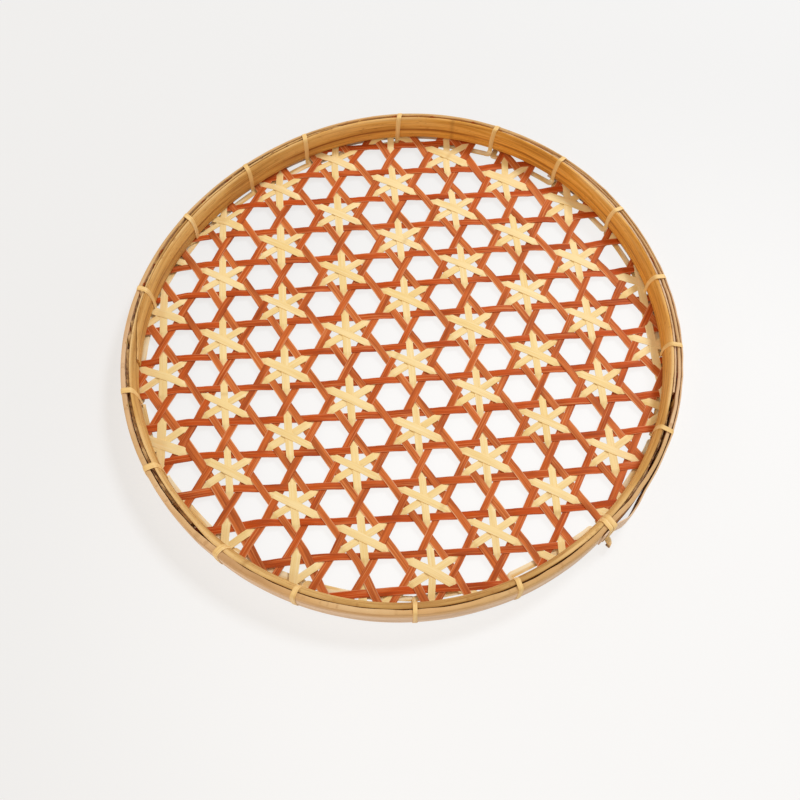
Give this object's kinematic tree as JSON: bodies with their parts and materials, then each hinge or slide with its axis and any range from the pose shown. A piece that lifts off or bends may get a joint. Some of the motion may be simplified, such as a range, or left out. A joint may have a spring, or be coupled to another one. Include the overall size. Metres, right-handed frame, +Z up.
{
  "type": "woven wall basket",
  "caption": "Round shallow wall basket: a hexagon weave of red bamboo strips with natural star strips, held between lashed rim hoops.",
  "frame": {"origin": "under the middle of the tray, on the surface that the underside of the lashing lies on", "axes": "+Z up out of the open tray, +X along the level red strips to the picture's right, +Y to the far side"},
  "size_m": [0.3512, 0.353, 0.0228],
  "materials": {
    "red_bamboo": "satin",
    "natural_bamboo": "satin",
    "hoop_bamboo": "satin",
    "lashing_peel": "satin"
  },
  "bodies": {
    "root": {"inner_hoop": "hoop_bamboo", "natural_net": "natural_bamboo", "natural_top_1": "natural_bamboo", "natural_top_2": "natural_bamboo", "natural_top_3": "natural_bamboo", "natural_top_4": "natural_bamboo", "natural_top_5": "natural_bamboo", "natural_top_6": "natural_bamboo", "natural_top_7": "natural_bamboo", "natural_top_8": "natural_bamboo", "outer_hoop": "hoop_bamboo", "red_across_1": "red_bamboo", "red_across_10": "red_bamboo", "red_across_11": "red_bamboo", "red_across_12": "red_bamboo", "red_across_13": "red_bamboo", "red_across_14": "red_bamboo", "red_across_15": "red_bamboo", "red_across_2": "red_bamboo", "red_across_3": "red_bamboo", "red_across_4": "red_bamboo", "red_across_5": "red_bamboo", "red_across_6": "red_bamboo", "red_across_7": "red_bamboo", "red_across_8": "red_bamboo", "red_across_9": "red_bamboo", "red_falling_1": "red_bamboo", "red_falling_10": "red_bamboo", "red_falling_11": "red_bamboo", "red_falling_12": "red_bamboo", "red_falling_13": "red_bamboo", "red_falling_14": "red_bamboo", "red_falling_2": "red_bamboo", "red_falling_3": "red_bamboo", "red_falling_4": "red_bamboo", "red_falling_5": "red_bamboo", "red_falling_6": "red_bamboo", "red_falling_7": "red_bamboo", "red_falling_8": "red_bamboo", "red_falling_9": "red_bamboo", "red_rising_1": "red_bamboo", "red_rising_10": "red_bamboo", "red_rising_11": "red_bamboo", "red_rising_12": "red_bamboo", "red_rising_13": "red_bamboo", "red_rising_14": "red_bamboo", "red_rising_2": "red_bamboo", "red_rising_3": "red_bamboo", "red_rising_4": "red_bamboo", "red_rising_5": "red_bamboo", "red_rising_6": "red_bamboo", "red_rising_7": "red_bamboo", "red_rising_8": "red_bamboo", "red_rising_9": "red_bamboo", "rim_lashing": "lashing_peel"}
  },
  "joints": []
}
